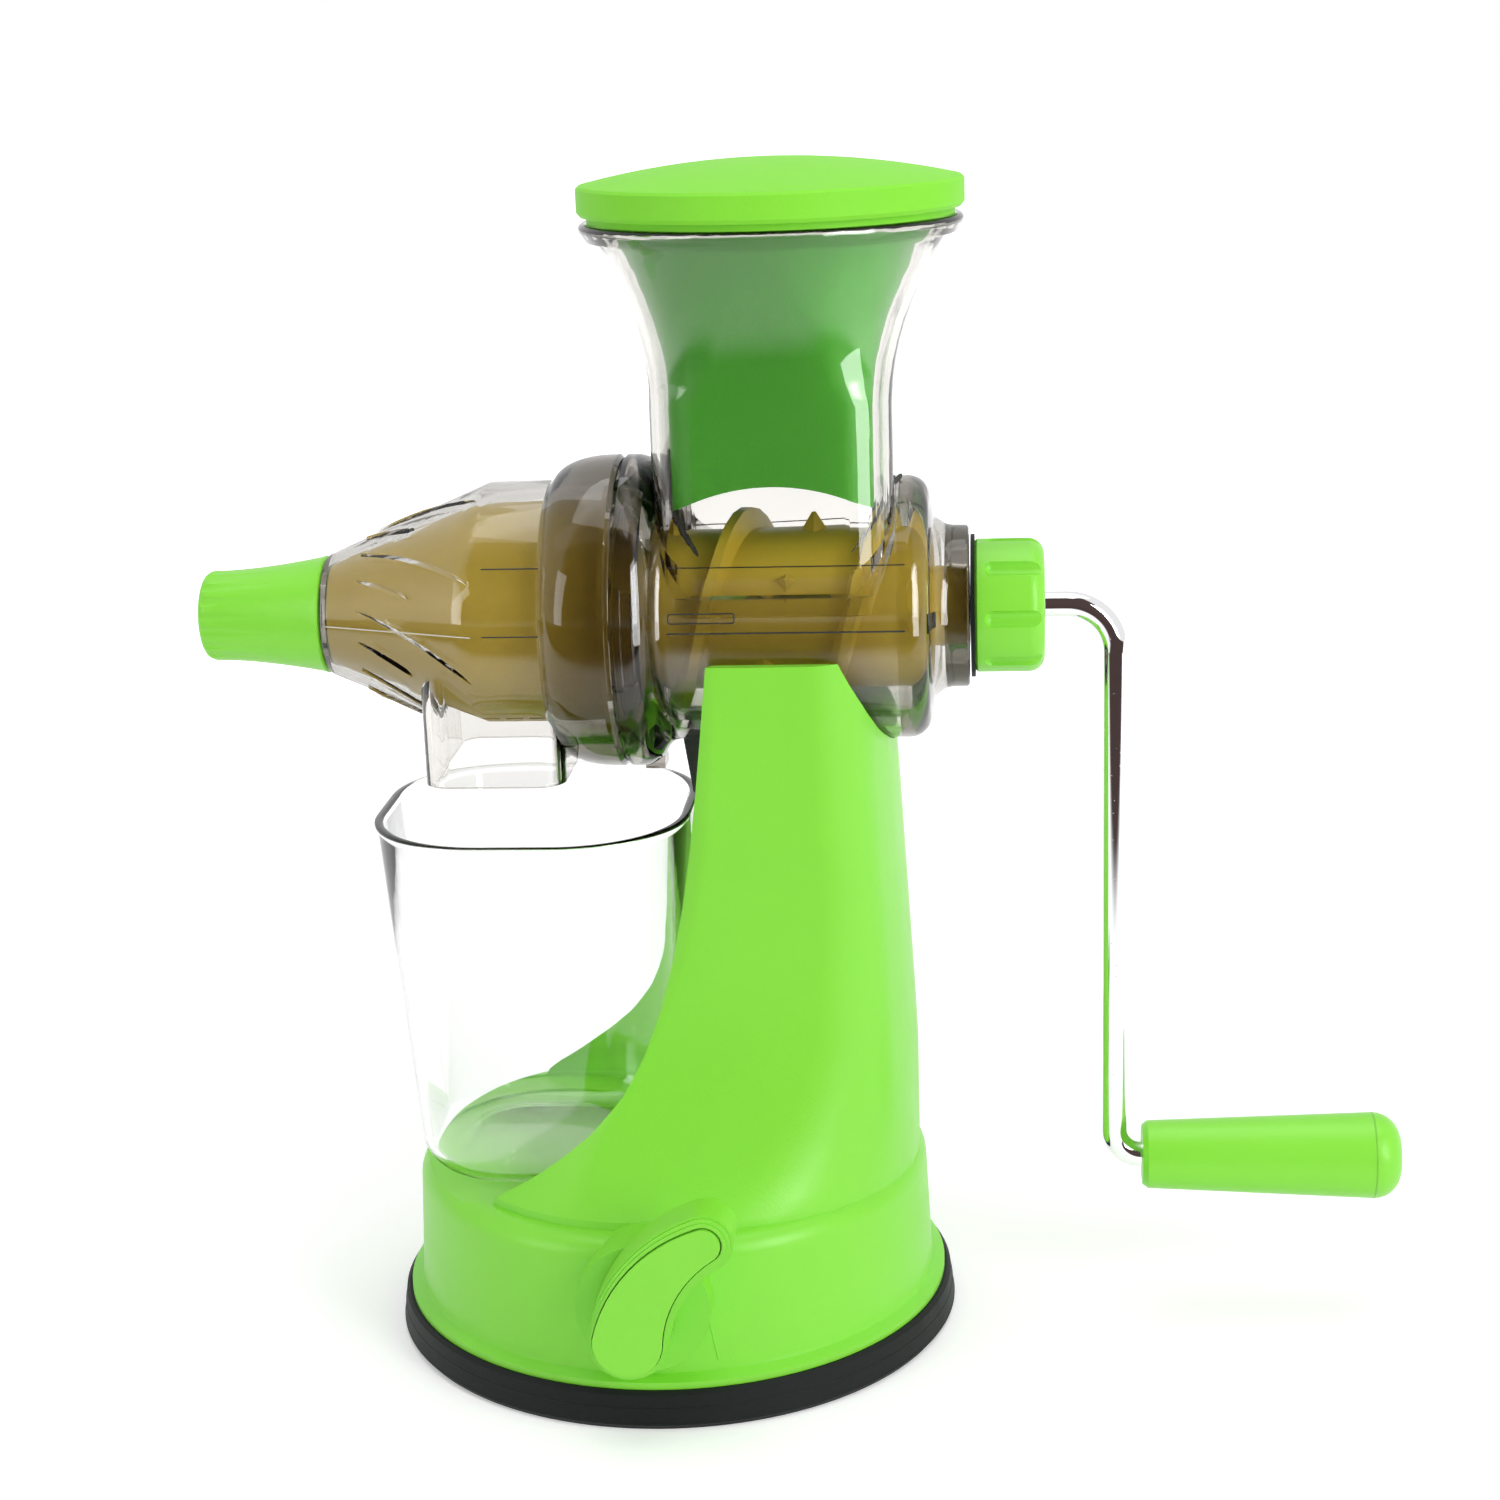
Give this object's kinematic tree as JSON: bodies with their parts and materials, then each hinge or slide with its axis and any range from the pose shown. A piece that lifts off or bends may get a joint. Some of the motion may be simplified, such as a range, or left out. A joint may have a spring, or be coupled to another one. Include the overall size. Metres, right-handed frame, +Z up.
{
  "type": "manual wheatgrass juicer",
  "caption": "Hand-cranked horizontal screw juicer with smoky clear barrel, hopper and pusher, fluted pulp knob, juice cup, hollow stand and suction base with lever.",
  "frame": {"origin": "middle of the rubber pad's flat underside, on the worktop", "axes": "+X along the barrel towards the crank, +Y away from the suction lever, +Z up"},
  "size_m": [0.3039, 0.1587, 0.2999],
  "materials": {
    "lime_plastic": "satin moulded",
    "smoky_clear": "clear, smoke tinted",
    "clear_plastic": "clear polished",
    "strainer_plastic": "matt moulded",
    "screw_plastic": "satin moulded",
    "dark_plastic": "matt moulded",
    "rubber": "matt",
    "steel": "turned",
    "chrome": "bright plated"
  },
  "bodies": {
    "stand": {"suction_pad": "rubber", "stand_shell": "lime_plastic", "guide_bridge": "dark_plastic", "bridge_screws": "steel", "barrel_housing": "smoky_clear", "barrel_foot": "dark_plastic", "foot_screw": "steel", "pad_spring": "steel"},
    "stem": {"pad_plate": "dark_plastic", "pad_stem": "steel"},
    "lever": {"suction_lever": "lime_plastic", "lever_cap": "lime_plastic", "lever_shaft": "steel", "lever_screw": "steel", "shaft_clip": "steel"},
    "cover": {"front_cover": "smoky_clear", "cover_gasket": "rubber", "strainer": "strainer_plastic"},
    "knob_seal": {"pulp_seal": "rubber"},
    "knob": {"pulp_knob": "lime_plastic"},
    "drive": {"auger": "screw_plastic", "drive_stud": "steel", "neck_washer": "rubber", "handle_nut": "lime_plastic", "crank_rod": "chrome", "grip_clip": "steel"},
    "grip": {"handle_grip": "lime_plastic"},
    "pusher": {"pusher_body": "lime_plastic", "pusher_lid": "lime_plastic"},
    "cup": {"juice_cup": "clear_plastic"}
  },
  "joints": [
    {"name": "stem_lift", "type": "slide", "parent": "stand", "child": "stem", "axis": [0, 0, 1], "range_m": [0, 0.00306], "deforming": ["pad_spring"]},
    {"name": "lever_turn", "type": "hinge", "parent": "stand", "child": "lever", "pos_m": [0, -0.08, 0.032], "axis": [0, -1, 0], "range_deg": [0, 100]},
    {"name": "cover_turn", "type": "hinge", "parent": "stand", "child": "cover", "pos_m": [-0.02, 0, 0.189], "axis": [1, 0, 0], "range_deg": [0, 45]},
    {"name": "knob_travel", "type": "slide", "parent": "cover", "child": "knob_seal", "axis": [-1, 0, 0], "range_m": [0, 0.004]},
    {"name": "knob_turn", "type": "hinge", "parent": "knob_seal", "child": "knob", "pos_m": [-0.09, 0, 0.189], "axis": [-1, 0, 0], "range_deg": [0, 720]},
    {"name": "crank_spin", "type": "hinge", "parent": "stand", "child": "drive", "pos_m": [0.09, 0, 0.189], "axis": [1, 0, 0], "continuous": true},
    {"name": "grip_spin", "type": "hinge", "parent": "drive", "child": "grip", "pos_m": [0.15, 0, 0.0416], "axis": [1, 0, 0], "continuous": true},
    {"name": "pusher_lift", "type": "slide", "parent": "stand", "child": "pusher", "axis": [0, 0, 1], "range_m": [0, 0.09]},
    {"name": "cup_out", "type": "slide", "parent": "stand", "child": "cup", "axis": [-0.9889, 0, 0.1483], "range_m": [0, 0.12]}
  ],
  "couplings": [
    {"joint": "lever_turn", "follows": "stem_lift", "rad_per_m": 569.57},
    {"joint": "knob_turn", "follows": "knob_travel", "rad_per_m": 3141.6}
  ]
}
